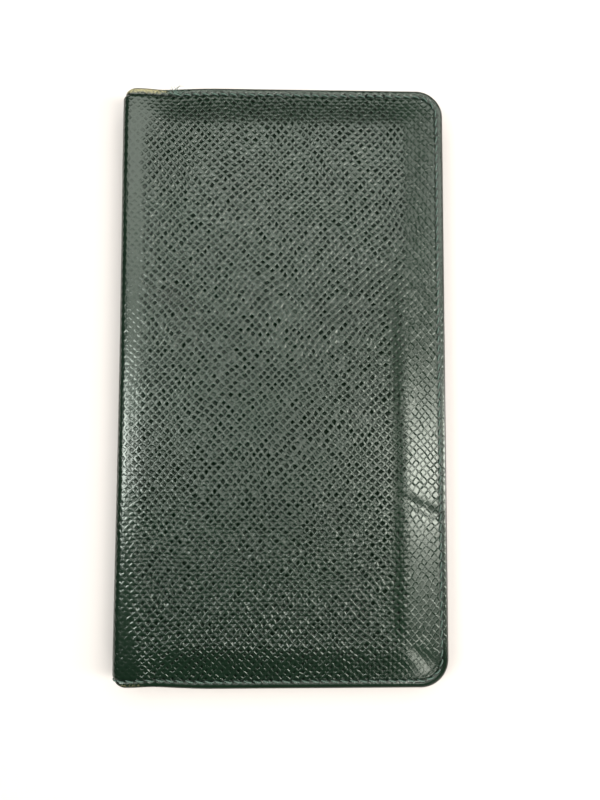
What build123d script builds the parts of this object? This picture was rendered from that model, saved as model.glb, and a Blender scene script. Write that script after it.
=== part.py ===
"""Long bifold coat wallet, closed and lying on its back cover.

Millimetres. The origin is under the middle of the wallet, +X points to the free edge, -X to the
fold, +Y to the top end and +Z up. Two leather halves lie face to face, and each is built from its
outside in: cover, stiffener, lining, note panel, pocket plies. The front half is built in the
same way and turned over. The fold joins them and turns on two lines, one at each of its corners.
"""
import os
from math import atan2, degrees
from build123d import *

# ---- driving dimensions -------------------------------------------------------------------
length = 185.0            # top end to bottom end
width = 101.0             # fold to free edge
free_corner = 8.5         # plan radius of the two corners at the free edge
fold_corner = 3.5         # plan radius of the fold's two ends
fold_radius = 4.6         # outside radius of each corner of the fold, seen from the end

leather = 1.2             # cover
board = 0.6               # stiffener
lining = 0.4
tape = 0.3                # reinforcement glued inside the fold
glue = 0.03               # glue between the layers of the fold
note_space = 1.2          # room for a few banknotes between lining and panel
panel = 0.5               # note panel
ply = 0.4                 # pocket leather
air = 0.05                # between two plies
edge_coat = 0.25          # edge paint
halves_gap = 0.2          # between the two stacks when closed

side_bevel = 13.0         # free edge to the raised middle
end_bevel = 12.5          # top or bottom end to the raised middle
seam_margin = 3.3         # flat strip that the seam runs in
raised_corner = 3.5       # plan radius of the raised middle
board_inset = 0.5         # crest to the stiffener's edge

seam_inset = 2.1          # edge to seam line
stitch_pitch = 2.9
stitch_gap = 0.7          # between two stitches
thread = 0.6              # thread width
groove = 0.3              # depth of the stitch groove, filled by the thread

cover_gap = 0.4           # fold line to the cover of each half, so that the fold turns freely
stack_gap = 0.8           # fold line to the linings and plies

card_pockets = 5
pocket_pitch = 13.0       # one mouth to the next
first_mouth = 17.5        # Y of the uppermost card pocket's mouth
card_depth = 58.0         # mouth to bottom, for a card 54 high
card_stem = 87.4          # below the head, for a card 85.6 wide
head_gap = 0.1            # between the heads of two card pockets
slip_mouth = 52.0         # Y of the slip panel's mouth
note_mouth_drop = 5.0     # note panel's mouth below the top end
thumb_radius = 9.0
document_mouth = 66.0     # Y of the document pocket's mouth
ticket_mouth = -20.0      # Y of the ticket pocket's mouth

# ---- places worked out from them ----------------------------------------------------------
right = width / 2
top = length / 2
fold_line = -right + fold_radius
crown = board + note_space
panel_base = crown + leather + lining
ply_step = ply + air
back_stack = panel_base + panel + (card_pockets + 1) * ply_step
front_stack = panel_base + panel + 2 * ply_step
height = back_stack + halves_gap + front_stack
middle = Plane.XY.offset(height / 2)

cover_left = fold_line + cover_gap
stack_left = fold_line + stack_gap
stack_right = right - edge_coat
stack_top = top - edge_coat
past = 1.0                # how far a cut runs past an open side


# ---- shapes that several pieces share -------------------------------------------------------
def plan(left, inset):
    """Plan of one half: square at the fold, two round corners, `inset` inside the edges."""
    with BuildSketch() as shape:
        with Locations(((left + right - inset) / 2, 0)):
            Rectangle(right - inset - left, length - 2 * inset)
        fillet(shape.vertices().group_by(Axis.X)[-1], free_corner - inset)
    return shape.sketch


def raised(left, inset=0.0):
    """Plan of the raised middle, `inset` inside its crest."""
    x = right - side_bevel - inset
    with BuildSketch() as shape:
        with Locations(((left + x) / 2, 0)):
            Rectangle(x - left, length - 2 * (end_bevel + inset))
        fillet(shape.vertices().group_by(Axis.X)[-1], raised_corner)
    return shape.sketch


def edge_strip(left, inset, breadth):
    """U-shaped strip along the three free edges."""
    with BuildSketch() as shape:
        add(plan(left, inset))
        add(plan(left - past, inset + breadth), mode=Mode.SUBTRACT)
    return shape.sketch


def block(x0, x1, y0, y1):
    """Plan of a rectangular ply that stays inside the round free corners."""
    with BuildSketch() as shape:
        with Locations(((x0 + x1) / 2, (y0 + y1) / 2)):
            Rectangle(x1 - x0, y1 - y0)
        add(plan(stack_left, edge_coat), mode=Mode.INTERSECT)
    return shape.sketch


def tray(base, drop, thickness, left, inset):
    """Sheet of one thickness: raised middle, bevel on three sides and a flat margin."""
    with BuildPart() as sheet:
        with BuildSketch(Plane.XY.offset(base)):
            add(raised(left))
        with BuildSketch(Plane.XY.offset(base + drop)):
            add(plan(left, seam_margin))
        loft(ruled=True)
        with BuildSketch(Plane.XY.offset(base + drop)):
            add(plan(left, inset))
        extrude(amount=thickness)
        with BuildSketch(Plane.XY.offset(base + thickness)):
            add(raised(left - past))
        with BuildSketch(Plane.XY.offset(base + drop + thickness)):
            add(plan(left - past, seam_margin))
        loft(ruled=True, mode=Mode.SUBTRACT)
    return sheet.part


def turn_over():
    """Turn the piece being built over onto the front half."""
    mirror(about=middle, mode=Mode.REPLACE)


def gaps(seam, count):
    """Places of the gaps between `count` stitches, each in line with the seam."""
    places = []
    for i in range(count + 1):
        heading = seam % (i / count)
        places.append(Location(seam @ (i / count), (0, 0, degrees(atan2(heading.Y, heading.X)))))
    return places


def save(piece, name):
    """Label a finished piece and write it."""
    piece.part.label = name
    export_step(piece.part, f"parts/{name}.step")


os.makedirs("parts", exist_ok=True)

# ---- both halves: cover, stiffener, lining, note panel, edge paint, seam --------------------
seam_left = cover_left + stitch_gap
with BuildLine() as seam_path:
    seam_x = right - seam_inset
    seam_y = top - seam_inset
    corners = [(seam_left, seam_y), (seam_x, seam_y), (seam_x, -seam_y), (seam_left, -seam_y)]
    FilletPolyline(*corners, radius=free_corner - seam_inset)
seam = seam_path.wire()
stitch_count = round(seam.length / stitch_pitch)

for side in ("back", "front"):
    with BuildPart() as cover:
        add(tray(0, crown, leather, cover_left, edge_coat))
        with BuildSketch(Plane.XY.offset(crown)):
            add(edge_strip(cover_left - past, seam_inset - thread / 2, thread))
        extrude(amount=groove, mode=Mode.SUBTRACT)
        if side == "front":
            turn_over()
    save(cover, f"cover_{side}")

    with BuildPart() as stiffener:
        with BuildSketch(Plane.XY.offset(leather)):
            add(raised(stack_left, board_inset))
        extrude(amount=board)
        if side == "front":
            turn_over()
    save(stiffener, f"stiffener_{side}")

    with BuildPart() as lining_sheet:
        add(tray(leather + board, note_space, lining, stack_left, edge_coat))
        if side == "front":
            turn_over()
    save(lining_sheet, f"lining_{side}")

    with BuildPart() as note_panel:
        mouth = top - note_mouth_drop
        with BuildSketch(Plane.XY.offset(panel_base)):
            add(block(stack_left, stack_right, -stack_top, mouth))
            with Locations((0, mouth)):
                Circle(thumb_radius, mode=Mode.SUBTRACT)
        extrude(amount=panel)
        if side == "front":
            turn_over()
    save(note_panel, f"note_panel_{side}")

    with BuildPart() as edge_paint:
        with BuildSketch(Plane.XY.offset(crown)):
            add(edge_strip(cover_left, 0, edge_coat))
        extrude(amount=leather + lining)
        if side == "front":
            turn_over()
    save(edge_paint, f"edge_paint_{side}")

    with BuildPart() as stitching:
        with BuildSketch(Plane.XY.offset(crown)):
            add(edge_strip(seam_left, seam_inset - thread / 2, thread))
            with Locations(*gaps(seam, stitch_count)):
                Rectangle(stitch_gap, 2 * thread, mode=Mode.SUBTRACT)
        extrude(amount=groove)
        if side == "front":
            turn_over()
    save(stitching, f"stitching_{side}")

# ---- back half: slip panel and card pockets ---------------------------------------------------
first_ply = panel_base + panel + air

with BuildPart() as slip_panel:
    with BuildSketch(Plane.XY.offset(first_ply)):
        add(block(stack_left, stack_right, -stack_top, slip_mouth))
    extrude(amount=ply)
save(slip_panel, "slip_panel")

pocket_middle = (stack_left + stack_right) / 2
for number in range(1, card_pockets + 1):
    mouth = first_mouth - (number - 1) * pocket_pitch
    with BuildPart() as card_pocket:
        with BuildSketch(Plane.XY.offset(first_ply + number * ply_step)):
            if number < card_pockets:
                add(block(stack_left, stack_right, mouth - pocket_pitch + head_gap, mouth))
                add(block(pocket_middle - card_stem / 2, pocket_middle + card_stem / 2,
                          mouth - card_depth, mouth))
            else:
                add(block(stack_left, stack_right, -stack_top, mouth))
        extrude(amount=ply)
    save(card_pocket, f"card_pocket_{number}")

# ---- front half: document pocket and ticket pocket ----------------------------------------------
with BuildPart() as document_pocket:
    with BuildSketch(Plane.XY.offset(first_ply)):
        add(block(stack_left, stack_right, -stack_top, document_mouth))
        with Locations((0, document_mouth)):
            Circle(thumb_radius, mode=Mode.SUBTRACT)
    extrude(amount=ply)
    turn_over()
save(document_pocket, "document_pocket")

with BuildPart() as ticket_pocket:
    with BuildSketch(Plane.XY.offset(first_ply + ply_step)):
        add(block(stack_left, stack_right, -stack_top, ticket_mouth))
    extrude(amount=ply)
    turn_over()
save(ticket_pocket, "ticket_pocket")


# ---- fold: cover, reinforcement tape, lining and seam -------------------------------------------
def fold_curve(depth):
    """C-shaped end view of the fold, `depth` inside the leather's face."""
    radius = fold_radius - depth
    with BuildLine() as curve:
        low = RadiusArc((fold_line, depth), (depth - right, fold_radius), radius)
        high = RadiusArc((depth - right, height - fold_radius), (fold_line, height - depth), radius)
        Line(low @ 1, high @ 0)
    return curve.wire()


def fold_layer(depth, thickness):
    """End view of one layer of the fold."""
    outer = fold_curve(depth)
    inner = fold_curve(depth + thickness)
    with BuildSketch() as shape:
        with BuildLine():
            add(outer)
            add(inner)
            Line(outer @ 0, inner @ 0)
            Line(outer @ 1, inner @ 1)
        make_face()
    return shape.sketch


def fold_sheet(depth, thickness):
    """One layer of the fold over the whole length, its two ends rounded in plan."""
    with BuildPart() as sheet:
        with BuildSketch(Plane.XZ):
            add(fold_layer(depth, thickness))
        extrude(amount=top, both=True)
        with BuildSketch():
            with Locations((fold_line, 0)):
                Rectangle(2 * fold_radius, length)
            fillet(vertices().group_by(Axis.X)[0], fold_corner)
        extrude(amount=height, mode=Mode.INTERSECT)
    return sheet.part


def seam_plane(end):
    """Plane where the thread's strip starts, at the top end (1) or the bottom end (-1)."""
    return Plane.XZ.offset(-end * seam_y - thread / 2)


tape_depth = leather + glue
lining_depth = tape_depth + tape + glue
fold_seam = fold_curve(groove / 2)
fold_stitches = round(fold_seam.length / stitch_pitch)

with BuildPart() as cover_spine:
    add(fold_sheet(0, leather))
    for end in (-1, 1):
        with BuildSketch(seam_plane(end)):
            add(fold_layer(0, groove))
        extrude(amount=thread, mode=Mode.SUBTRACT)
save(cover_spine, "cover_spine")

with BuildPart() as spine_reinforcement:
    add(fold_sheet(tape_depth, tape))
save(spine_reinforcement, "spine_reinforcement")

with BuildPart() as lining_spine:
    add(fold_sheet(lining_depth, lining))
save(lining_spine, "lining_spine")

with BuildPart() as stitching_spine:
    for end in (-1, 1):
        with BuildSketch(seam_plane(end)):
            add(fold_layer(0, groove))
            with Locations(*gaps(fold_seam, fold_stitches)):
                Rectangle(stitch_gap, 2 * thread, mode=Mode.SUBTRACT)
        extrude(amount=thread)
save(stitching_spine, "stitching_spine")
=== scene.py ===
"""Long bifold coat wallet in green cross-grain leather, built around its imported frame.

Metres, in the frame's axes: +X to the free edge, -X to the fold, +Y to the top end, +Z up. The
two halves are mirror images about the wallet's mid-plane, so every shape is worked out for the
back half, its outside facing down, and turned over for the front half.
"""
import math

import bpy
import numpy as np
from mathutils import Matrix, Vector


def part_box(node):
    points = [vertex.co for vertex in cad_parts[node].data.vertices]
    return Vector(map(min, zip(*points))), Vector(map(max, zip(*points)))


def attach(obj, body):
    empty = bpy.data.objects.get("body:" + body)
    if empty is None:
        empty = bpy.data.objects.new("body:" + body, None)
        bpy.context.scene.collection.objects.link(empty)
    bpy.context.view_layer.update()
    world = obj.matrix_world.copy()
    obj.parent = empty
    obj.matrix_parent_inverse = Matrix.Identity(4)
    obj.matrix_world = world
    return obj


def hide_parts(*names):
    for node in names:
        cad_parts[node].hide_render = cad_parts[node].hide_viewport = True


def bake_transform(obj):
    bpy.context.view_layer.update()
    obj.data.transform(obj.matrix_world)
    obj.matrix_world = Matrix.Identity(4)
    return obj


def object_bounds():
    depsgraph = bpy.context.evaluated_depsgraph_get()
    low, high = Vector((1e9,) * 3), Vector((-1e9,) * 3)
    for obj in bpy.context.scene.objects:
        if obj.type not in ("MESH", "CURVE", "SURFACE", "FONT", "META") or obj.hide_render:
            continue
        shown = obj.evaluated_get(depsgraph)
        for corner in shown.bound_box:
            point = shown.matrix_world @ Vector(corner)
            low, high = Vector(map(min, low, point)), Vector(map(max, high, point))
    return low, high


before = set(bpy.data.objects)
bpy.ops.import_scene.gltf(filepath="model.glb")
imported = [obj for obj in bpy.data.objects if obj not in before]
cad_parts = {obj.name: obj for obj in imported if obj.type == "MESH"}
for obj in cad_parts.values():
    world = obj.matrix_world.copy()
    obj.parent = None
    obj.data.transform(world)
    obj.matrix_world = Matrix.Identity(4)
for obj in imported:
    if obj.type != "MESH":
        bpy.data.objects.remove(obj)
cad_low, cad_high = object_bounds()
MM = 0.001

# ---- Cover leather --------------------------------------------------------------------------
# One wrap of 1.2 mm calf leather round both halves, embossed with a diagonal cross grain. It is
# formed over a stiffener, so that its middle stands proud of a flat sewn margin, and it rolls
# round the fold. It is cut here at the middle of the fold, and both parts bend over a fold line.

right, top, thickness = cad_high.x, cad_high.y, cad_high.z
half_thickness = thickness / 2
fold_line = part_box("cover_spine")[1].x
roll = fold_line - cad_low.x
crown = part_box("edge_paint_back")[0].z
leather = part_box("stiffener_back")[0].z
edge_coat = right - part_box("cover_back")[1].x
free_corner = 8.5 * MM
fold_corner = 3.6 * MM
seam_inset = 2.1 * MM
bevel, bevel_foot = 13.0 * MM, 3.3 * MM

# The roll's end view: its slope turns from 0 to 90 degrees as a smooth step of the way across,
# which is the shape that lies flat again when the frame bends it back.
across = np.linspace(0, 1, 4001)
slope = math.pi / 2 * across**2 * (3 - 2 * across)
stride = 2 * roll / (np.cos(slope) + np.sin(slope)) / (len(across) - 1)
stride[0] = 0
roll_x = np.cumsum(stride * np.cos(slope))
roll_z = np.cumsum(stride * np.sin(slope))
roll_x, roll_z = roll_x * roll / roll_x[-1], roll_z * roll / roll_z[-1]
roll_length = stride.sum()
wall = half_thickness - roll
fold_length = wall + roll_length
flat_right = fold_length + right - fold_line


def smooth(value, start, stop):
    """0 before start, 1 after stop and a smooth step between them."""
    t = np.clip((value - start) / (stop - start), 0, 1)
    return t * t * (3 - 2 * t)


def level(x, y):
    """Height of the formed face over the raised middle: a ramp over the bevel, whose distance
    from the edges is a fourth-power mean, and which fades at the ends near the fold."""
    reach = 16 * MM
    side = np.clip(reach - (right - x), 0, None)
    stay = 0.35 + 0.65 * smooth(x, fold_line, fold_line + 14 * MM)
    end = np.clip(reach - (top - np.abs(y)) * 1.04, 0, None) * stay
    inset = reach - (side**4 + end**4) ** 0.25
    t = np.clip((bevel - inset) / (bevel - bevel_foot), 0, 1)
    return crown * (0.75 * t + 0.25 * t * t * (3 - 2 * t))


def base(f, y):
    """Face of the back half before its relief. f is measured over the leather from the middle
    of the fold: half the fold's wall, the roll, then the panel out to the free edge."""
    f, y = np.broadcast_arrays(f, y)
    panel_x = fold_line + f - fold_length
    along = np.clip(fold_length - f, 0, roll_length)
    arc = np.cumsum(stride)
    x0 = np.interp(along, arc, roll_x)
    z0 = np.interp(along, arc, roll_z) + np.clip(wall - f, 0, wall)
    end = np.clip(np.abs(y) - (top - fold_corner), 0, fold_corner)
    pull = fold_corner - np.sqrt(fold_corner**2 - end**2)
    pull = pull + 0.3 * MM * np.cos(math.pi / 2 * np.clip(y / top, -1, 1)) ** 2
    drop = level(fold_line, y)
    fold_x = fold_line - x0 * (1 - pull / roll)
    fold_z = half_thickness - (half_thickness - z0) * (1 - drop / half_thickness)
    on_fold = f < fold_length
    x = np.where(on_fold, fold_x, panel_x)
    z = np.where(on_fold, fold_z, level(panel_x, y))
    shrink = 1.0 * MM * smooth(np.abs(y), top - 14 * MM, top)
    shrink = shrink * (1 - smooth(panel_x, fold_line - 2 * MM, fold_line + 26 * MM))
    return np.stack([x, y - np.sign(y) * shrink, z], -1)


def skin(f, y, lift):
    """Place over the leather's face: base plus lift along its outward normal, the cross product
    of its two slopes."""
    step = 0.05 * MM
    slope_f = base(f + step, y) - base(f - step, y)
    slope_y = base(f, y + step) - base(f, y - step)
    normal = -np.cross(slope_f, slope_y)
    normal /= np.linalg.norm(normal, axis=-1, keepdims=True)
    return base(f, y) + normal * np.broadcast_to(lift, normal.shape[:-1])[..., None]


def edge_inset(f, y):
    """Distance in from the free edges: to a rectangle with round corners."""
    past_x = f - (flat_right - free_corner)
    past_y = np.abs(y) - (top - free_corner)
    outside = np.hypot(np.clip(past_x, 0, None), np.clip(past_y, 0, None))
    return free_corner - outside - np.clip(np.maximum(past_x, past_y), None, 0)


def crease(f, y, start, stop, breadth, depth):
    """A valley along the line from start to stop, bell-shaped across and fading at its ends."""
    a, b = np.array(start) * MM, np.array(stop) * MM
    a[0], b[0] = a[0] - fold_line + fold_length, b[0] - fold_line + fold_length
    run = b - a
    t = ((f - a[0]) * run[0] + (y - a[1]) * run[1]) / (run @ run)
    off = ((f - a[0]) * run[1] - (y - a[1]) * run[0]) / math.hypot(*run)
    fade = smooth(t, -0.15, 0.25) * (1 - smooth(t, 0.75, 1.15))
    return depth * MM * fade * np.exp(-((off / (breadth * MM)) ** 2))


def relief(f, y, side):
    """Small shape on the face: the sunk seam line, the rounded rim, handling creases and a slow
    unevenness from use."""
    inset = edge_inset(f, y)
    sunk = 0.28 * MM * np.exp(-(((inset - seam_inset) / (0.55 * MM)) ** 2))
    rim = 0.35 * MM * np.clip(1 - inset / (0.9 * MM), 0, 1) ** 2
    turn = 1.0 if side == "front" else -1.0
    x = f - fold_length
    waves = np.sin(x / (17 * MM) + turn) * np.sin(y / (23 * MM) + 0.6 * turn)
    waves += 0.6 * np.sin(x / (9 * MM) - y / (31 * MM) + 2.0 * turn)
    uneven = 0.06 * MM * waves * smooth(inset, 3 * MM, 16 * MM) * smooth(x, 0, 12 * MM)
    if side == "front":
        creases = crease(f, y, (36, -35.5), (49, -42.0), 1.0, 0.55)
        creases = creases + crease(f, y, (-20, -26), (-9, -30), 1.2, 0.10)
        creases = creases + crease(f, y, (33, -58), (36, -12), 2.0, 0.10)
    else:
        creases = crease(f, y, (30, 22), (48, 12), 1.0, 0.22)
    return uneven - sunk - rim - creases


def quads(index):
    """Corner numbers of the faces between neighbours on a grid of point numbers."""
    corners = [index[:-1, :-1], index[1:, :-1], index[1:, 1:], index[:-1, 1:]]
    return np.stack(corners, -1).reshape(-1, 4)


def piece(name, points, faces, side, notes=None, sharp=40):
    """Mesh object from points and four-cornered faces, its faces turned outwards by the sign of
    its volume. The front half is the back half turned over."""
    points = points.reshape(-1, 3).copy()
    if side == "front":
        points[:, 2] = thickness - points[:, 2]
    a, b, c, d = (points[faces[:, i]] for i in range(4))
    volume = np.sum(np.cross(b - a, c - a) * a) + np.sum(np.cross(c - a, d - a) * a)
    mesh = bpy.data.meshes.new(name)
    mesh.from_pydata(points.tolist(), [], (faces if volume > 0 else faces[:, ::-1]).tolist())
    for label, values in (notes or {}).items():
        kept = mesh.attributes.new(label, "FLOAT_VECTOR", "POINT")
        kept.data.foreach_set("vector", values.astype(np.float32).ravel())
    mesh.shade_smooth()
    mesh.set_sharp_from_angle(angle=math.radians(sharp))
    made = bpy.data.objects.new(name, mesh)
    bpy.context.scene.collection.objects.link(made)
    return made


def shell(outer, inner):
    """Points and faces of a closed sheet: two grids and the rim that joins their borders."""
    index = np.arange(outer.shape[0] * outer.shape[1]).reshape(outer.shape[:2])
    other = index + index.size
    border = [np.concatenate([g[0, :-1], g[:-1, -1], g[-1, :0:-1], g[:0:-1, 0], g[0, :1]])
              for g in (index, other)]
    faces = np.concatenate([quads(index), quads(other)[:, ::-1], quads(np.stack(border))[:, ::-1]])
    return np.concatenate([outer.reshape(-1, 3), inner.reshape(-1, 3)]), faces


def spaced(*stops):
    """Places from the first stop to the last, each pair of stops divided by the step between
    them: spaced(a, step, b, step, c)."""
    runs = []
    for start, step, stop in zip(stops[0:-2:2], stops[1:-1:2], stops[2::2]):
        runs.append(np.linspace(start, stop, max(2, round(abs(stop - start) / step) + 1))[:-1])
    return np.concatenate([*runs, [stops[-1]]])


def rows():
    """Y of the cover's rows, closer at the round corners: there they follow equal turns."""
    radius = free_corner - edge_coat
    corner = radius * (1 - np.cos(np.linspace(0, math.pi / 2, 27)))
    half = np.concatenate([top - edge_coat - corner[:-1],
                           spaced(top - edge_coat - radius, 0.8 * MM, top - bevel,
                                  1.5 * MM, 0)])
    return np.concatenate([half, -half[-2::-1]])


def panel_right(y, inset):
    """Flat place of the free edge in each row, `inset` inside it, with its round corners."""
    radius = free_corner - inset
    past = np.clip(np.abs(y) - (top - free_corner), 0, radius)
    return flat_right - free_corner + np.sqrt(radius**2 - past**2)


def wear(f, y):
    """How rubbed the grain is, 0 to 1: the roll's crest, the free corners, the crest of the
    bevel and the patches that a hand and a pocket polish."""
    def patch(centre_x, centre_y, half_x, half_y):
        px = (f - fold_length + fold_line - centre_x * MM) / (half_x * MM)
        py = (y - centre_y * MM) / (half_y * MM)
        return np.exp(-(px**2 + py**2) ** 1.5)
    roll_rub = np.exp(-(((f - fold_length + 1.4 * MM) / (4.2 * MM)) ** 4))
    corner = 0.9 * patch(41, -84, 8, 7) + 0.6 * patch(38, 86, 5, 4) + 0.5 * patch(47, 45, 5, 22)
    fold_end = 0.8 * patch(-45, 84, 8, 8) + 0.3 * patch(-46, -84, 6, 8)
    fold_end = fold_end + 0.3 * patch(-45, 45, 7, 48)
    end = 0.45 * smooth(-y, 79 * MM, 85 * MM)
    margin = 0.6 * (1 - smooth(edge_inset(f, y), 1.2 * MM, 2.0 * MM))
    return np.clip(roll_rub + corner + fold_end + end + margin, 0, 1)


def frayed(f, y, side):
    """Where the end of the fold is worn down to bare fibre: a strip along the edge that thins
    out away from the fold. The front's top end is much the worst."""
    from_end = top - np.abs(y)
    reach, breadth = (26, 2.0) if side == "front" else (9, 0.8)
    strip = 1 - smooth(from_end / MM, 0.4 * breadth, breadth + 1.0)
    along = 1 - smooth(f - wall, 0.4 * reach * MM, reach * MM)
    return strip * along * np.where(y > 0, 1.0, 0.55)


def polished(f, y):
    """Where the pits have filled with wax and show a bright floor: over the side bevel."""
    x = f - fold_length + fold_line
    return smooth(x, 36.5 * MM, 39.5 * MM) * (1 - 0.35 * smooth(y, -10 * MM, 40 * MM))


def flattened_and_painted_shade(f, y):
    """Where the relief is pressed flat and its gloss gets painted shade: along the crest of the side
    bevel, which the board presses flat, and outside the seam at the lower end."""
    x = f - fold_length + fold_line
    pressed = 0.8 * np.exp(-(((x - 35.2 * MM) / (2.6 * MM)) ** 2))
    pressed = pressed * smooth(-y, -60 * MM, 0) * (1 - smooth(-y, 74 * MM, 82 * MM))
    outside = 0.85 * (1 - smooth(edge_inset(f, y), 1.1 * MM, 1.9 * MM))
    return np.maximum(pressed, outside * smooth(-y, 80 * MM, 86 * MM))


cover_y = rows()[:, None]
cover_f = spaced(0, 0.6 * MM, wall, 0.5 * MM, fold_length, 1.5 * MM,
                 flat_right - bevel, 0.75 * MM, flat_right - 4.2 * MM, 0.3 * MM, flat_right)[None, :]
stretch = (panel_right(cover_y, edge_coat) - fold_length) / (flat_right - fold_length)
cover_f = np.where(cover_f > fold_length, fold_length + (cover_f - fold_length) * stretch, cover_f)
cover_y = np.broadcast_to(cover_y, cover_f.shape)

cover = {}
for side in ("back", "front"):
    outer = skin(cover_f, cover_y, relief(cover_f, cover_y, side))
    inner = skin(cover_f, cover_y, -leather)
    points, faces = shell(outer, inner)
    flat = np.stack([cover_f / MM, cover_y / MM, wear(cover_f, cover_y)], -1).reshape(-1, 3)
    marks = np.stack([frayed(cover_f, cover_y, side), polished(cover_f, cover_y),
                      0 * cover_f], -1).reshape(-1, 3)
    # The near attribute: inset from the rim, and where the relief is pressed flat under painted
    # shade.
    near = np.stack([edge_inset(cover_f, cover_y) / MM, flattened_and_painted_shade(cover_f, cover_y),
                     0 * cover_f], -1).reshape(-1, 3)
    cover[side] = piece(f"cover_leather_{side}", points, faces, side,
                        {"flat": np.tile(flat, (2, 1)), "marks": np.tile(marks, (2, 1)),
                         "near": np.tile(near, (2, 1))})
    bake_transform(cover[side])
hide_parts("cover_back", "cover_spine")
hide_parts("cover_front")


def colour(code):
    """sRGB hex to linear red, green, blue and alpha."""
    parts = [int(code[i:i + 2], 16) / 255 for i in (0, 2, 4)]
    return [p / 12.92 if p <= 0.04045 else ((p + 0.055) / 1.055) ** 2.4 for p in parts] + [1.0]


def add(tree, kind, inputs=None, **settings):
    """Add a node with its settings and its inputs, each a value, a node or a socket."""
    made = tree.nodes.new("ShaderNode" + kind)
    for name, value in settings.items():
        setattr(made, name, value)
    for name, value in (inputs or {}).items():
        if isinstance(value, bpy.types.Node):
            value = value.outputs[0]
        if isinstance(value, bpy.types.NodeSocket):
            tree.links.new(value, made.inputs[name])
        else:
            made.inputs[name].default_value = value
    return made


def new_material(name):
    """An empty node material and its tree."""
    made = bpy.data.materials.new(name)
    made.use_nodes = True
    made.node_tree.nodes.clear()
    return made, made.node_tree


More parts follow.
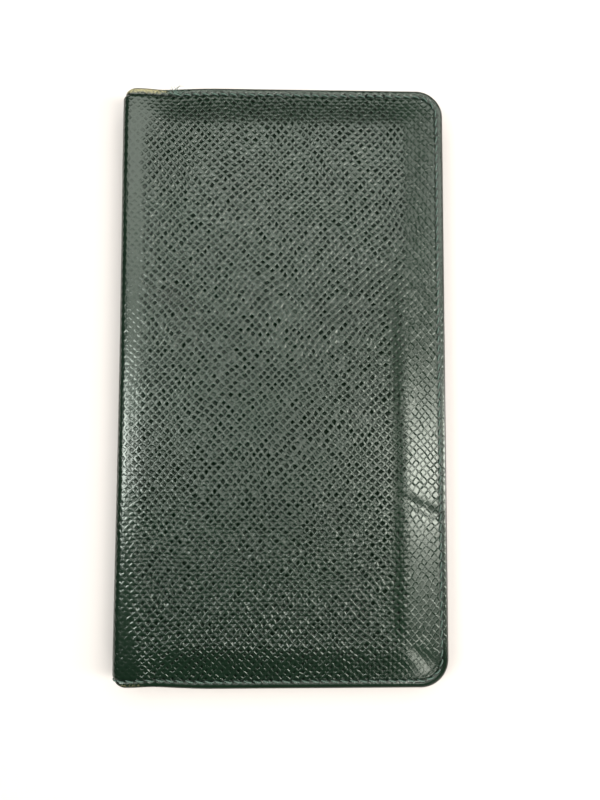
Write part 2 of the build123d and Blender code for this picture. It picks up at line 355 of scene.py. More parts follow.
def cross_grain_leather():
    """Calf leather pressed with two crossing families of ridges 1.75 mm apart, green all through
    and finished with a satin pigment. Each ridge is broken at its crossings into short domed
    strokes that catch the light, and the diamonds between them are pits of uneven depth,
    darkened with painted shade, which show their flat floors where the leather is polished."""
    material, tree = new_material("cross_grain_calf_leather")
    flat = add(tree, "Attribute", attribute_name="flat")
    flat = add(tree, "SeparateXYZ", {0: flat.outputs["Vector"]})
    marks = add(tree, "Attribute", attribute_name="marks")
    marks = add(tree, "SeparateXYZ", {0: marks.outputs["Vector"]})
    near = add(tree, "Attribute", attribute_name="near")
    near = add(tree, "SeparateXYZ", {0: near.outputs["Vector"]})
    rubbed, fibre_shows, waxed = flat.outputs[2], marks.outputs[0], marks.outputs[1]
    inset, flattened_and_shaded = near.outputs[0], near.outputs[1]
    place = add(tree, "CombineXYZ", {0: flat.outputs[0], 1: flat.outputs[1]})

    # The embossing plate's lines run at 47 degrees and wander by a few tenths of their pitch.
    pitch, lean = 1.75, 47
    wander = add(tree, "TexNoise", {"Vector": place, "Scale": 0.05, "Detail": 1.0})
    jitter = add(tree, "TexNoise", {"Vector": place, "Scale": 0.45, "Detail": 1.0})
    moved = add(tree, "VectorMath", {0: wander.outputs["Color"], 1: (4.0, 4.0, 0), 2: place},
                operation="MULTIPLY_ADD")
    moved = add(tree, "VectorMath", {0: jitter.outputs["Color"], 1: (0.9, 0.9, 0), 2: moved},
                operation="MULTIPLY_ADD")
    lines, cells, nearest = [], [], []
    for degrees in (-lean, lean):
        turn = math.radians(90 + degrees)
        wave = (math.cos(turn) / pitch, math.sin(turn) / pitch, 0)
        phase = add(tree, "VectorMath", {0: moved, 1: wave}, operation="DOT_PRODUCT")
        phase = phase.outputs["Value"]
        lines.append(add(tree, "Math", {0: phase, 1: 0.5}, operation="PINGPONG"))
        cells.append(add(tree, "Math", {0: phase}, operation="FLOOR"))
        nearest.append(add(tree, "Math", {0: phase}, operation="ROUND"))

    # Ridges: each stroke between two crossings has a strength of its own and a low dome, and
    # the wax makes it narrower.
    foot = add(tree, "MapRange", {"Value": waxed, "To Min": 0.36, "To Max": 0.17})
    flat_top = add(tree, "MapRange", {"Value": waxed, "To Min": 0.09, "To Max": 0.02})
    ridges = []
    for own, other, least in ((0, 1, 0.5), (1, 0, 0.4)):
        stroke = add(tree, "CombineXYZ", {0: nearest[own], 1: cells[other], 2: 7.0 * own})
        chance = add(tree, "TexWhiteNoise", {"Vector": stroke}, noise_dimensions="3D")
        strength = add(tree, "MapRange", {"Value": chance.outputs["Value"], "To Min": least,
                                          "To Max": 1.0})
        dome = add(tree, "MapRange", {"Value": lines[other], "From Min": 0.0, "From Max": 0.35,
                                      "To Min": 0.75, "To Max": 1.0})
        shape = add(tree, "MapRange", {"Value": lines[own], "From Min": flat_top,
                                       "From Max": foot, "To Min": 1.0, "To Max": 0.0},
                    interpolation_type="SMOOTHSTEP")
        shape = add(tree, "Math", {0: shape, 1: dome}, operation="MULTIPLY")
        ridges.append(add(tree, "Math", {0: shape, 1: strength}, operation="MULTIPLY"))
    grain = add(tree, "Math", {0: ridges[0], 1: ridges[1], 2: 0.2}, operation="SMOOTH_MAX")

    # Pits: each diamond has a depth of its own, and wax fills it.
    cell = add(tree, "CombineXYZ", {0: cells[0], 1: cells[1], 2: 3.0})
    chance = add(tree, "TexWhiteNoise", {"Vector": cell}, noise_dimensions="3D")
    deep = add(tree, "MapRange", {"Value": chance.outputs["Value"], "To Min": 0.25,
                                  "To Max": 1.0})
    unfilled = add(tree, "MapRange", {"Value": waxed, "To Min": 1.0, "To Max": 0.0})
    deep = add(tree, "Math", {0: deep, 1: unfilled}, operation="MULTIPLY")
    inner = add(tree, "Math", {0: lines[0], 1: lines[1]}, operation="MINIMUM")
    pit = add(tree, "MapRange", {"Value": inner, "From Min": 0.20, "From Max": 0.44},
              interpolation_type="SMOOTHSTEP")
    pit = add(tree, "Math", {0: pit, 1: deep}, operation="MULTIPLY")

    # Relief: 0.24 mm deep, less where it is rubbed, waxed or pressed flat, with fine pores.
    left_over = add(tree, "MapRange", {"Value": rubbed, "To Min": 1.0, "To Max": 0.2})
    shallow = add(tree, "MapRange", {"Value": waxed, "To Min": 1.0, "To Max": 0.5})
    pressed = add(tree, "MapRange", {"Value": flattened_and_shaded, "To Min": 1.0, "To Max": 0.2})
    height = add(tree, "Math", {0: pit, 1: -0.5, 2: grain}, operation="MULTIPLY_ADD")
    for share in (left_over, shallow, pressed):
        height = add(tree, "Math", {0: height, 1: share}, operation="MULTIPLY")
    pores = add(tree, "TexNoise", {"Vector": place, "Scale": 3.0, "Detail": 2.0})
    height = add(tree, "Math", {0: pores.outputs["Fac"], 1: 0.05, 2: height},
                 operation="MULTIPLY_ADD")
    bump = add(tree, "Bump", {"Height": height, "Strength": 1.0, "Distance": 0.24 * MM})

    # Colour: near-black painted shade in the pits, green ridges, painted shade in the seam channel
    #     and bare fibre where frayed.
    dye = add(tree, "TexNoise", {"Vector": place, "Scale": 0.06, "Detail": 2.0})
    # The pits' colour is painted shade, standing in for the shade that the relief casts into them.
    low = add(tree, "MixRGB", {"Fac": dye.outputs["Fac"], "Color1": colour("020402"),
                               "Color2": colour("040a05")})
    high = add(tree, "MixRGB", {"Fac": dye.outputs["Fac"], "Color1": colour("08140c"),
                                "Color2": colour("0c1c11")})
    raised = add(tree, "Math", {0: pit, 1: left_over}, operation="MULTIPLY")
    raised = add(tree, "MapRange", {"Value": raised, "From Min": 0.0, "From Max": 0.6,
                                    "To Min": 1.0, "To Max": 0.0})
    body = add(tree, "MixRGB", {"Fac": raised, "Color1": low, "Color2": high})
    # Painted shade: darker along the sunk seam channel, and along a pocket mouth's creased line.
    off = add(tree, "Math", {0: inset, 1: -seam_inset / MM}, operation="ADD")
    off = add(tree, "Math", {0: off}, operation="ABSOLUTE")
    channel = add(tree, "MapRange", {"Value": off, "From Min": 0.25, "From Max": 0.95,
                                     "To Min": 0.65, "To Max": 0.0},
                  interpolation_type="SMOOTHSTEP")
    body = add(tree, "MixRGB", {"Fac": channel, "Color1": body, "Color2": colour("060b08")})
    fibre = add(tree, "TexNoise", {"Vector": place, "Scale": 1.6, "Detail": 4.0})
    bare = add(tree, "Math", {0: fibre.outputs["Fac"], 1: fibre_shows}, operation="MULTIPLY")
    bare = add(tree, "MapRange", {"Value": bare, "From Min": 0.26, "From Max": 0.50})
    body = add(tree, "MixRGB", {"Fac": bare, "Color1": body, "Color2": colour("7a7556")})

    # Finish: satin on the ridges, glossier in the pits and where rubbed, matt on bare fibre.
    rough = add(tree, "MapRange", {"Value": channel, "To Min": 0.27, "To Max": 0.5})
    rough = add(tree, "MapRange", {"Value": rubbed, "To Min": rough, "To Max": 0.22})
    rough = add(tree, "MapRange", {"Value": raised, "To Min": 0.24, "To Max": rough})
    rough = add(tree, "MapRange", {"Value": bare, "To Min": rough, "To Max": 0.8})

    # Painted shade in the specular tint: a pit's walls shut out the light, and so does the foot of a
    #     waxed ridge. The pressed crest of the side bevel and the margin outside the seam at the
    #     lower end get the same painted shade.
    gap = add(tree, "MapRange", {"Value": inner, "From Min": 0.14, "From Max": 0.29},
              interpolation_type="SMOOTHSTEP")
    gap = add(tree, "Math", {0: gap, 1: deep}, operation="MULTIPLY")
    outline = add(tree, "MapRange", {"Value": grain, "From Min": 0.45, "From Max": 0.95,
                                     "To Min": 0.0, "To Max": 0.9},
                  interpolation_type="SMOOTHSTEP")
    outline = add(tree, "Math", {0: outline, 1: waxed}, operation="MULTIPLY")
    shade = add(tree, "Math", {0: gap, 1: outline}, operation="MAXIMUM")
    shade = add(tree, "Math", {0: shade, 1: left_over}, operation="MULTIPLY")
    shade = add(tree, "Math", {0: shade, 1: flattened_and_shaded}, operation="MAXIMUM")
    tint = add(tree, "MixRGB", {"Fac": shade, "Color1": colour("f5fff5"),
                                "Color2": colour("20261f")})
    shader = add(tree, "BsdfPrincipled", {"Base Color": body, "Roughness": rough, "IOR": 1.5,
                                          "Specular Tint": tint, "Normal": bump})
    add(tree, "OutputMaterial", {"Surface": shader})
    return material


cover_material = cross_grain_leather()
for side in ("back", "front"):
    cover[side].data.materials.append(cover_material)


# ---- Edge paint -------------------------------------------------------------------------------
# The cut edges are sanded, painted dark and burnished, so a rounded bead runs round the whole
# rim and holds the layers together.

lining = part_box("edge_paint_back")[1].z - crown - leather
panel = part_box("note_panel_back")[1].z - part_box("note_panel_back")[0].z
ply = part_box("slip_panel")[1].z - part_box("slip_panel")[0].z
mouths = {"back": [(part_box("note_panel_back")[1].y, panel), (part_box("slip_panel")[1].y, ply),
                   (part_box("card_pocket_1")[1].y, ply)],
          "front": [(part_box("note_panel_front")[1].y, panel),
                    (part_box("document_pocket")[1].y, ply), (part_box("ticket_pocket")[1].y, ply)]}


def rim(s, inset):
    """Flat place `inset` inside the rim, `s` along the seam line: over the top end from the
    fold, a quarter turn, down the free edge, a quarter turn and back to the fold."""
    run = flat_right - free_corner
    turn = math.pi / 2 * (free_corner - seam_inset)
    side_run = 2 * (top - free_corner)
    angle = np.clip((s - run) / turn, 0, 1) + np.clip((s - run - turn - side_run) / turn, 0, 1)
    angle = angle * math.pi / 2
    f = np.clip(s, 0, run) - np.clip(s - run - 2 * turn - side_run, 0, run)
    y = top - free_corner - np.clip(s - run - turn, 0, side_run)
    return f + (free_corner - inset) * np.sin(angle), y + (free_corner - inset) * np.cos(angle)


rim_length = 2 * (flat_right - free_corner + top - free_corner)
rim_length += math.pi * (free_corner - seam_inset)


def sewn_layers(y, f, side):
    """Thickness of the pocket layers caught in the seam: each starts below its mouth."""
    caught = sum(deep * smooth(mouth - y, 0, 1.2 * MM) for mouth, deep in mouths[side])
    return caught * smooth(f, fold_length, fold_length + 2 * MM)


def satin_edge_paint():
    """Acrylic edge paint, near black with a brown cast, satin, with a few thin spots."""
    material, tree = new_material("satin_edge_paint")
    place = add(tree, "TexCoord")
    spots = add(tree, "TexNoise", {"Vector": place.outputs["Object"], "Scale": 900.0})
    body = add(tree, "MixRGB", {"Fac": spots.outputs["Fac"], "Color1": colour("1c1d1a"),
                                "Color2": colour("34342e")})
    bump = add(tree, "Bump", {"Height": spots.outputs["Fac"], "Distance": 0.05 * MM})
    shader = add(tree, "BsdfPrincipled", {"Base Color": body, "Roughness": 0.38,
                                          "Normal": bump})
    add(tree, "OutputMaterial", {"Surface": shader})
    return material


paint_material = satin_edge_paint()

# The bead's section, from the face over the rim to the inside: how far in from the rim each of
# its points lies, and how far it stands off the face or the inmost ply.
bead_s = np.linspace(0, rim_length, 760)[:, None]
bead_in = np.array([0.85, 0.70, 0.45, 0.20, 0.04, 0.0, 0.0, 0.0, 0.06, 0.30, 0.60, 0.9]) * MM
bead_out = np.array([-0.02, 0.06, 0.05, -0.05, -0.30, -0.6]) * MM
bead_sunk = 0.12 * MM
for side in ("back", "front"):
    bead_f, bead_y = rim(bead_s, bead_in[None, :])
    deep = leather + lining + sewn_layers(bead_y[:, :1], bead_f[:, :1], side)
    lift_in = -deep - bead_out[::-1][None, :]
    lift = np.concatenate([np.broadcast_to(bead_out - bead_sunk, lift_in.shape), lift_in], 1)
    ring = skin(bead_f, bead_y, lift)
    index = np.arange(ring.shape[0] * ring.shape[1]).reshape(ring.shape[:2])
    closed = np.concatenate([index, index[:, :1]], 1)
    count = ring.shape[1]
    caps = np.array([[i, i + 1, count - 2 - i, count - 1 - i] for i in range(count // 2 - 1)])
    caps = np.concatenate([caps[:, ::-1], caps + index[-1, 0]])
    paint = piece(f"edge_paint_bead_{side}", ring, np.concatenate([quads(closed), caps]), side)
    paint.data.materials.append(paint_material)
    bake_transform(paint)
    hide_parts(f"edge_paint_{side}")


# ---- Seam thread ------------------------------------------------------------------------------
# Waxed polyester thread, sewn 2.9 mm to the stitch all round the rim, each stitch slanting a
# little and dipping into its holes.

def waxed_thread():
    """Three-ply thread with a wax finish: a soft sheen and oblique strands."""
    material, tree = new_material("waxed_polyester_thread")
    lay = add(tree, "Attribute", attribute_name="lay")
    split = add(tree, "SeparateXYZ", {0: lay.outputs["Vector"]})
    turn = add(tree, "Math", {0: split.outputs[0], 1: 1.6, 2: split.outputs[1]},
               operation="MULTIPLY_ADD")
    strand = add(tree, "Math", {0: turn, 1: 0.5}, operation="PINGPONG")
    body = add(tree, "MixRGB", {"Fac": strand, "Color1": colour("24392f"),
                                "Color2": colour("4c6a5c")})
    bump = add(tree, "Bump", {"Height": strand, "Distance": 0.12 * MM})
    shader = add(tree, "BsdfPrincipled", {"Base Color": body, "Roughness": 0.5,
                                          "Sheen Weight": 0.2, "Normal": bump})
    add(tree, "OutputMaterial", {"Surface": shader})
    return material


thread_material = waxed_thread()
stitch_pitch, stitch_gap, thread_radius = 2.9 * MM, 0.6 * MM, 0.24 * MM
thread_sunk = 0.06 * MM
worn_through = {"back": 1, "front": 7}


def stitches(count, length, place, lost=0):
    """Rows of short threads: each is a tube along t with a round section over angle, raised in
    the middle and dipping at both ends, and place() puts (s, aside, up) on the leather. The
    first `lost` of them have worn through."""
    number = np.arange(lost, count)[:, None, None]
    t = np.linspace(0, 1, 8)[None, :, None]
    angle = np.arange(6)[None, None, :] * math.pi / 3
    pitch = length / count
    radius = thread_radius * (0.45 + 0.55 * np.sin(math.pi * np.clip(t, 0.04, 0.96)) ** 0.5)
    s = (number + 0.5) * pitch + (t - 0.5) * (pitch - stitch_gap) + 0 * angle
    aside = (t - 0.5) * 0.55 * MM + radius * np.cos(angle)
    up = (np.sin(math.pi * t) ** 0.6 - 0.75) * 0.32 * MM + radius * np.sin(angle)
    aside, up = aside + 0 * number, up + 0 * number
    points = place(s, aside, up)
    grid = np.arange(points.size // 3).reshape(points.shape[:3])
    closed = np.concatenate([grid, grid[:, :, :1]], 2)
    faces = np.concatenate([quads(one) for one in closed])
    ends = np.concatenate([grid[:, 0, [0, 1, 2, 3]], grid[:, 0, [3, 4, 5, 0]],
                           grid[:, -1, [3, 2, 1, 0]], grid[:, -1, [0, 5, 4, 3]]])
    lay = np.stack([t * (pitch - stitch_gap) / MM + 0 * s, angle / math.tau * 3 + 0 * s,
                    number + 0 * s], -1)
    return points, np.concatenate([faces, ends]), lay.reshape(-1, 3)


for side in ("back", "front"):
    def on_cover(s, aside, up):
        f, y = rim(s, seam_inset + aside)
        return skin(f, y, up - thread_sunk)
    points, faces, lay = stitches(round(rim_length / stitch_pitch), rim_length, on_cover,
                                  lost=worn_through[side])
    seam = piece(f"seam_thread_{side}", points, faces, side, {"lay": lay})
    seam.data.materials.append(thread_material)
    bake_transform(seam)
    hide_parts(f"stitching_{side}")
    if side == "back":
        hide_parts("stitching_spine")

# Where the front's seam has worn through, the cut end of the thread has fanned out. Each strand
# is a thin tube whose heading turns steadily along it, and which droops over the edge.
draw = np.random.default_rng(7)
strands = 14
t = np.linspace(0, 1, 10)
heading = draw.uniform(-1.1, 1.2, (strands, 1)) + draw.uniform(-2.2, 2.2, (strands, 1)) * t
step = draw.uniform(2.2, 4.6, (strands, 1)) * MM / (len(t) - 1)
frayed_at = skin(fold_length + 11.8 * MM, top - seam_inset, 0.05 * MM)
strand_x = frayed_at[0] + draw.normal(0, 0.7 * MM, (strands, 1))
strand_x = strand_x + np.cumsum(step * np.sin(heading), 1)
strand_y = frayed_at[1] + np.cumsum(step * np.cos(heading), 1)
strand_z = frayed_at[2] - (0.9 * t - draw.uniform(0.3, 2.2, (strands, 1)) * t**2) * MM
angle = (np.arange(6) * math.tau / 6)[None, None, :]
strand_radius = 0.10 * MM * (1 - 0.6 * t[None, :, None])
strand = np.stack([
    strand_x[..., None] + strand_radius * np.cos(angle) * np.cos(heading)[..., None],
    strand_y[..., None] - strand_radius * np.cos(angle) * np.sin(heading)[..., None],
    strand_z[..., None] + strand_radius * np.sin(angle)], -1)
grid = np.arange(strand.size // 3).reshape(strand.shape[:3])
closed = np.concatenate([grid, grid[:, :, :1]], 2)
tips = [grid[:, 0, [0, 1, 2, 3]], grid[:, 0, [3, 4, 5, 0]],
        grid[:, -1, [3, 2, 1, 0]], grid[:, -1, [0, 5, 4, 3]]]
faces = np.concatenate([quads(one) for one in closed] + tips)
lay = np.stack([3 * t[None, :, None] + 0 * strand[..., 0], 0.4 + 0 * strand[..., 0],
                0 * strand[..., 0]], -1)
fray = piece("frayed_thread_front", strand, faces, "front", {"lay": lay.reshape(-1, 3)})
fray.data.materials.append(thread_material)
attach(fray, "front_half")


# ---- Lining -----------------------------------------------------------------------------------
# Smooth calf, 0.4 mm thick, glued over the stiffener, the fold's tape and the sewn margin, and cut
# at the middle of the fold as the cover is.

tape_deep, glue = 0.30 * MM, 0.03 * MM


def lining_depth(f, y):
    """How far the lining lies inside the cover's face: over the tape at the fold, over the
    stiffener in the middle of a panel and straight on the leather at the margin."""
    on_tape = leather + glue + tape_deep + glue
    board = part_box("stiffener_back")[1].z - leather
    panel_depth = leather + board * (1 - level(fold_line + f - fold_length, y) / crown)
    share = smooth(f, fold_length - 0.3 * MM, fold_length + 1.2 * MM)
    return on_tape + (panel_depth - on_tape) * share


def smooth_calf(name, dark, light, gloss):
    """Smooth-grained calf with a low sheen: fine pores, faint wrinkles and a slow change of
    tone."""
    material, tree = new_material(name)
    flat = add(tree, "Attribute", attribute_name="flat")
    split = add(tree, "SeparateXYZ", {0: flat.outputs["Vector"]})
    place = add(tree, "CombineXYZ", {0: split.outputs[0], 1: split.outputs[1]})
    pores = add(tree, "TexVoronoi", {"Vector": place, "Scale": 2.6, "Randomness": 1.0})
    wrinkle = add(tree, "TexNoise", {"Vector": place, "Scale": 0.7, "Detail": 5.0,
                                     "Roughness": 0.6})
    tone = add(tree, "TexNoise", {"Vector": place, "Scale": 0.05, "Detail": 2.0})
    height = add(tree, "Math", {0: wrinkle.outputs["Fac"], 1: 2.0, 2: pores.outputs["Distance"]},
                 operation="MULTIPLY_ADD")
    bump = add(tree, "Bump", {"Height": height, "Distance": 0.05 * MM})
    mixed = add(tree, "Math", {0: tone.outputs["Fac"], 1: pores.outputs["Distance"]},
                operation="MULTIPLY")
    spread = add(tree, "MapRange", {"Value": mixed, "From Max": 0.4})
    body = add(tree, "MixRGB", {"Fac": spread, "Color1": colour(dark), "Color2": colour(light)})
    # Lighter along a pocket's mouth, where flat's third part rises: partly wear, partly a painted
    # highlight on the turned edge.
    worn_and_highlit = add(tree, "MixRGB", {"Fac": split.outputs[2], "Color1": body,
                                "Color2": colour("33453a")})
    rough = add(tree, "MapRange", {"Value": wrinkle.outputs["Fac"], "To Min": gloss - 0.08,
                                   "To Max": gloss + 0.1})
    shader = add(tree, "BsdfPrincipled", {"Base Color": worn_and_highlit, "Roughness": rough,
                                          "Normal": bump})
    add(tree, "OutputMaterial", {"Surface": shader})
    return material


lining_material = smooth_calf("smooth_lining_calf", "0a120c", "16241a", 0.42)
depth = lining_depth(cover_f, cover_y)
plain = np.stack([cover_f / MM, cover_y / MM, 0 * cover_f], -1).reshape(-1, 3)
for side in ("back", "front"):
    points, faces = shell(skin(cover_f, cover_y, -depth), skin(cover_f, cover_y, -depth - lining))
    sheet = piece(f"lining_{side}_sheet", points, faces, side, {"flat": np.tile(plain, (2, 1))})
    sheet.data.materials.append(lining_material)
    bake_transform(sheet)
    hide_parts(f"lining_{side}")
    if side == "back":
        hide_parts("lining_spine")


# ---- Stiffeners and fold tape -------------------------------------------------------------------
# The board that shapes each half and the tape that strengthens the fold are shut in between the
# leathers. The boards keep the frame's shapes; the tape is drawn anew inside the cover's roll.

def pressed_board():
    """Grey-brown bonded leather board: pressed fibres, matt."""
    material, tree = new_material("bonded_leather_board")
    place = add(tree, "TexCoord")
    fibre = add(tree, "TexNoise", {"Vector": place.outputs["Object"], "Scale": 1400.0,
                                   "Detail": 4.0})
    body = add(tree, "MixRGB", {"Fac": fibre.outputs["Fac"], "Color1": colour("5b4a38"),
                                "Color2": colour("8a7458")})
    bump = add(tree, "Bump", {"Height": fibre.outputs["Fac"], "Distance": 0.05 * MM})
    shader = add(tree, "BsdfPrincipled", {"Base Color": body, "Roughness": 0.9,
                                          "Normal": bump})
    add(tree, "OutputMaterial", {"Surface": shader})
    return material


def woven_tape():
    """White nylon tape woven at 4 threads to the millimetre, drawn at 2 so that it shows."""
    material, tree = new_material("woven_nylon_tape")
    place = add(tree, "TexCoord")
    split = add(tree, "SeparateXYZ", {0: place.outputs["Object"]})
    threads = []
    for axis in (0, 1):
        count = add(tree, "Math", {0: split.outputs[axis], 1: 2000.0}, operation="MULTIPLY")
        threads.append(add(tree, "Math", {0: count, 1: 0.5}, operation="PINGPONG"))
    weave = add(tree, "Math", {0: threads[0], 1: threads[1]}, operation="ADD")
    body = add(tree, "MixRGB", {"Fac": weave, "Color1": colour("a8a69c"),
                                "Color2": colour("dedbd0")})
    bump = add(tree, "Bump", {"Height": weave, "Distance": 0.1 * MM})
    shader = add(tree, "BsdfPrincipled", {"Base Color": body, "Roughness": 0.8,
                                          "Normal": bump})
    add(tree, "OutputMaterial", {"Surface": shader})
    return material


board_material, tape_material = pressed_board(), woven_tape()
for node in ("stiffener_back", "stiffener_front"):
    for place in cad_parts[node].material_slots:
        place.material = board_material

tape_end = 1.2 * MM
tape_f = spaced(0, 0.6 * MM, wall, 0.5 * MM, fold_length)[None, :]
tape_y = spaced(top - tape_end, 3 * MM, -top + tape_end)[:, None]
tape_f, tape_y = np.broadcast_arrays(tape_f, tape_y)
for side in ("back", "front"):
    points, faces = shell(skin(tape_f, tape_y, -leather - glue),
                          skin(tape_f, tape_y, -leather - glue - tape_deep))
    tape = piece(f"fold_tape_{side}", points, faces, side)
    tape.data.materials.append(tape_material)
    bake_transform(tape)
    if side == "back":
        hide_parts("spine_reinforcement")


# ---- Note panels --------------------------------------------------------------------------------
# A 0.5 mm panel of smooth calf stands over the lining of each half and closes the long note
# compartment. Its mouth is turned and creased with a hot iron, and has a thumb notch.

sewn_flat = 2.7 * MM
creased_at = 1.9 * MM


def leaf(name, node, side, notch=0.0, stem=None, pressed=None, own_finish=None):
    """One ply that lies inside a half, from its node's box: a closed sheet in rows that follow
    its mouth, a half-round notch included. Its upper face is level in the middle, is pressed
    down to `pressed` at the sewn edges, and rolls over at the mouth behind a creased line. With
    stem=(head, width) it is a T: a full head over a narrower stem."""
    low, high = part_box(node)
    if side == "front":
        base_z, high_z = thickness - high.z, thickness - low.z
    else:
        base_z, high_z = low.z, high.z
    deep = high_z - base_z
    mouth, foot = high.y, low.y
    x_left, x_right = low.x, high.x
    lip = np.array([0, 0.08, 0.2, 0.4, 0.8, 1.2, 1.5, 1.7, 1.9, 2.1, 2.3, 2.6, 3.2, 4.2, 6]) * MM
    if stem:
        head, width = stem
        far = spaced(8 * MM, 2.2 * MM, head)
        below = spaced(head + 0.02 * MM, 3 * MM, mouth - foot)
        down = np.concatenate([lip, far, below])
        middle = (x_left + x_right) / 2
        left_edge = np.where(down > head, middle - width / 2, x_left)
        right_edge = np.where(down > head, middle + width / 2, x_right)
    else:
        radius = free_corner - edge_coat
        corner = radius * (1 - np.cos(np.linspace(0, math.pi / 2, 19)))
        far = spaced(8 * MM, 3 * MM, mouth - foot - radius)
        down = np.concatenate([lip, far, mouth - foot - corner[-2::-1]])
        past = np.clip(down - (mouth - foot - radius), 0, radius)
        left_edge = np.full_like(down, x_left)
        right_edge = x_right - radius + np.sqrt(radius**2 - past**2)
    edge_steps = np.array([0, 0.3, 0.8, 1.4, 2.0, 2.7, 3.2, 3.8, 4.4, 5.0, 6.0, 8.0]) * MM
    past_edge, stride_x = 11 * MM, 2.5 * MM
    if notch:
        bow = notch * np.sin(np.linspace(-math.pi / 2, math.pi / 2, 33))
        beside = notch + 0.3 * MM
        inside = np.concatenate([spaced(x_left + past_edge, stride_x, -beside), bow,
                                 spaced(beside, stride_x, x_right - past_edge)])
    else:
        inside = spaced(x_left + past_edge, stride_x, x_right - past_edge)
    x = np.concatenate([x_left + edge_steps, inside, x_right - edge_steps[::-1]])[None, :]
    share = (x - x_left) / (x_right - x_left)
    down, left_edge, right_edge = down[:, None], left_edge[:, None], right_edge[:, None]
    if stem:
        narrowed = left_edge + share * (right_edge - left_edge)
    else:
        narrowed = np.minimum(x, right_edge - (x_right - x) * 0.02)
    x = np.where(right_edge - left_edge < x_right - x_left - 1e-7, narrowed, x)
    dip = np.sqrt(np.clip(notch**2 - x**2, 0, None)) if notch else 0.0 * x
    y = mouth - down - dip * (1 - smooth(down, 0, 30 * MM))

    rise = smooth(x - x_left, sewn_flat, sewn_flat + 3.5 * MM)
    rise = rise * smooth(x_right - x, sewn_flat, sewn_flat + 3.5 * MM)
    if stem is None:
        rise = rise * smooth(y - foot, sewn_flat, sewn_flat + 5 * MM)
    floor_z = high_z if pressed is None else pressed
    z = floor_z + (high_z - floor_z) * rise
    roll_over = 0.10 * MM * np.clip(1 - down / (0.25 * MM), 0, 1) ** 2
    turned = 0.05 * MM * (1 - smooth(down, 1.0 * MM, creased_at))
    crease_line = 0.10 * MM * np.exp(-(((down - creased_at) / (0.22 * MM)) ** 2))
    upper = np.stack([x, y, z + turned - roll_over - crease_line], -1)
    lower = np.stack([x, y, z - deep], -1)
    points, faces = shell(upper, lower)
    # The mouth's edge is rubbed smooth; in smooth calf this also paints a lighter highlight along
    # it.
    rub_and_highlight = np.clip(1.4 - down / (1.3 * MM), 0, 1) * 0.8 + 0 * x
    flat = np.stack([x / MM + 31.0 * len(name), y / MM + 17.0 * len(name), rub_and_highlight + 0.05], -1)
    # This puts the leather's painted channel shade on the mouth's creased line.
    near = np.stack([(down - creased_at + seam_inset) / MM + 0 * x, 0 * x, 0 * x], -1)
    notes = {"flat": np.tile(flat.reshape(-1, 3), (2, 1)),
             "near": np.tile(near.reshape(-1, 3), (2, 1))}
    made = piece(name, points, faces, side, notes)
    made.data.materials.append(own_finish or lining_material)
    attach(made, f"{side}_half")
    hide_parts(node)
    return made


thumb_radius = 9.0 * MM
panel_material = smooth_calf("smooth_panel_calf", "0d1810", "1a2c20", 0.38)
for side in ("back", "front"):
    leaf(f"note_panel_{side}_sheet", f"note_panel_{side}", side, notch=thumb_radius,
         own_finish=panel_material)


# ---- Slip panel and card pockets ----------------------------------------------------------------
# On the back half a slip panel and five card pockets are stacked, each mouth 13 mm below the one
# before. The first four are T-shaped: only their heads reach the side seams.

leaf("slip_panel_sheet", "slip_panel", "back", own_finish=panel_material)
pressed_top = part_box("slip_panel")[1].z + ply * 0.9
first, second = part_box("card_pocket_1"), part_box("card_pocket_2")
head_depth = first[1].y - second[1].y - 0.1 * MM
stem_width = 87.4 * MM      # clear of the seams on both sides
for number in range(1, 6):
    leaf(f"card_pocket_{number}_sheet", f"card_pocket_{number}", "back",
         stem=(head_depth, stem_width) if number < 5 else None,
         pressed=pressed_top, own_finish=cover_material)


# ---- Document pocket and ticket pocket ----------------------------------------------------------
# The front half carries two flat pockets in the same grained leather, one behind the other.

leaf("document_pocket_sheet", "document_pocket", "front", notch=thumb_radius,
     own_finish=panel_material)
leaf("ticket_pocket_sheet", "ticket_pocket", "front", own_finish=cover_material)


# ---- Inner seams --------------------------------------------------------------------------------
# The rim's seam shows inside too, and a second one holds the stack of plies along the fold. It
# starts just below the note panel's mouth and ends at the rim's seam.

from_fold_edge, below_mouth, above_foot = 1.6 * MM, 1.5 * MM, 3.2 * MM
for side in ("back", "front"):
    def inside(s, aside, up):
        f, y = rim(s, seam_inset + aside)
        deep = leather + lining + sewn_layers(y, f, side)
        return skin(f, y, -deep - up)

    mouth_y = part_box(f"note_panel_{side}")[1].y
    seam_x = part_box(f"note_panel_{side}")[0].x + from_fold_edge
    run = mouth_y - below_mouth + top - above_foot

    def by_fold(s, aside, up):
        y = mouth_y - below_mouth - s
        z = crown + leather + lining + sewn_layers(y, y * 0 + flat_right, side)
        return np.stack([seam_x + aside, y, z + up], -1)
    for label, length, place in (("rim", rim_length, inside), ("fold", run, by_fold)):
        points, faces, lay = stitches(round(length / stitch_pitch), length, place)
        seam = piece(f"inner_seam_{label}_{side}", points, faces, side, {"lay": lay})
        seam.data.materials.append(thread_material)
        if label == "rim":
            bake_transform(seam)
        else:
            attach(seam, f"{side}_half")


# ---- Floor, light and camera --------------------------------------------------------------------
# A white sheet under five soft lights: a wide one beyond the top end, a small one overhead, a tall
# narrow one to the right, and small ones beyond the lower corner and to the left for the gloss of
# the corner and the fold. The camera looks almost straight down from close by.

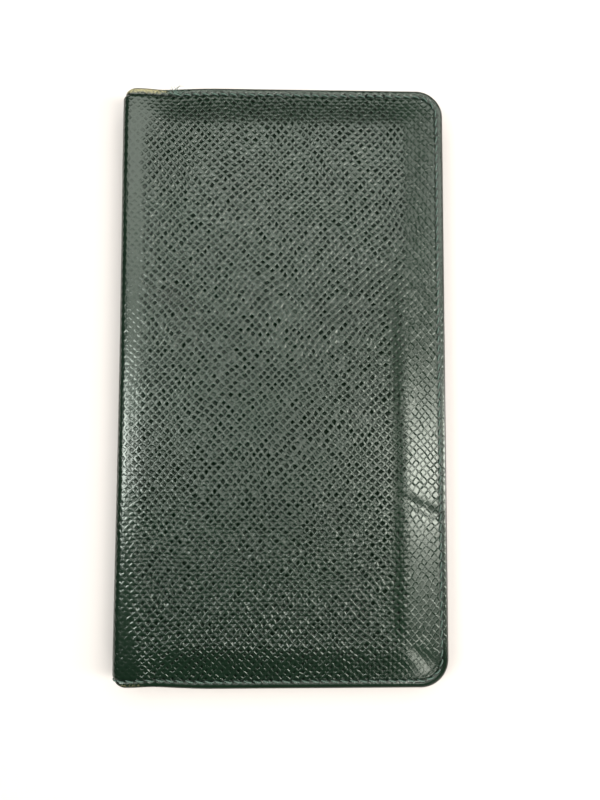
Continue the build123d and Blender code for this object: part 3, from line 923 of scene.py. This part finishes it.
floor_mesh = bpy.data.meshes.new("floor")
half_sheet = 0.55
floor_mesh.from_pydata([(-half_sheet, -half_sheet, 0), (half_sheet, -half_sheet, 0),
                        (half_sheet, half_sheet, 0), (-half_sheet, half_sheet, 0)], [],
                       [(0, 1, 2, 3)])
floor = bpy.data.objects.new("floor", floor_mesh)
bpy.context.scene.collection.objects.link(floor)
paper, tree = new_material("white_paper")
shader = add(tree, "BsdfPrincipled", {"Base Color": colour("b3b0ac"), "Roughness": 0.9,
                                      "Specular IOR Level": 0.2})
add(tree, "OutputMaterial", {"Surface": shader})
floor_mesh.materials.append(paper)


def soft_light(name, place, target, size, watts, code):
    """A rectangular area light at place, facing target, of size (across, up) and strength in
    watts."""
    lamp = bpy.data.lights.new(name, "AREA")
    lamp.shape = "RECTANGLE"
    lamp.size, lamp.size_y = size
    lamp.energy = watts
    lamp.color = colour(code)[:3]
    made = bpy.data.objects.new(name, lamp)
    made.location = place
    direction = Vector(target) - Vector(place)
    made.rotation_euler = direction.to_track_quat("-Z", "Y").to_euler()
    bpy.context.scene.collection.objects.link(made)


soft_light("over_top_end", (-0.03, 0.40, 0.62), (-0.03, 0.02, 0), (1.16, 0.44), 7.1, "fffdfb")
soft_light("overhead", (-0.08, 0.01, 0.62), (0, -0.02, 0), (0.22, 0.36), 0.9, "fffdfb")
soft_light("right", (0.47, -0.07, 0.60), (0.04, -0.05, 0), (0.14, 0.70), 9.4, "fffaf6")
soft_light("low_right", (0.30, -0.50, 0.56), (0.04, -0.08, 0), (0.14, 0.14), 0.9, "fffaf6")
soft_light("left", (-0.36, -0.03, 0.56), (-0.05, -0.02, 0), (0.13, 0.26), 2.9, "ffffff")

world = bpy.data.worlds.new("studio")
bpy.context.scene.world = world
world.use_nodes = True
tree = world.node_tree
tree.nodes.clear()
seen = add(tree, "LightPath")
room = add(tree, "Background", {"Color": colour("e9eceb"), "Strength": 0.035})
backdrop = add(tree, "Background", {"Color": colour("fbfaf7"), "Strength": 1.0})
mix = add(tree, "MixShader", {0: seen.outputs["Is Camera Ray"], 1: room, 2: backdrop})
add(tree, "OutputWorld", {"Surface": mix})

eye = bpy.data.cameras.new("camera")
eye.lens, eye.sensor_width = 27.05, 36.0
eye.clip_start = 0.01
camera = bpy.data.objects.new("camera", eye)
camera.location = (1.42 * MM, -16.8 * MM, 193.9 * MM)
camera.rotation_euler = (math.radians(3.33), math.radians(-1.27), math.radians(0.13))
bpy.context.scene.collection.objects.link(camera)
bpy.context.scene.camera = camera
bpy.context.scene.view_settings.view_transform = "Standard"
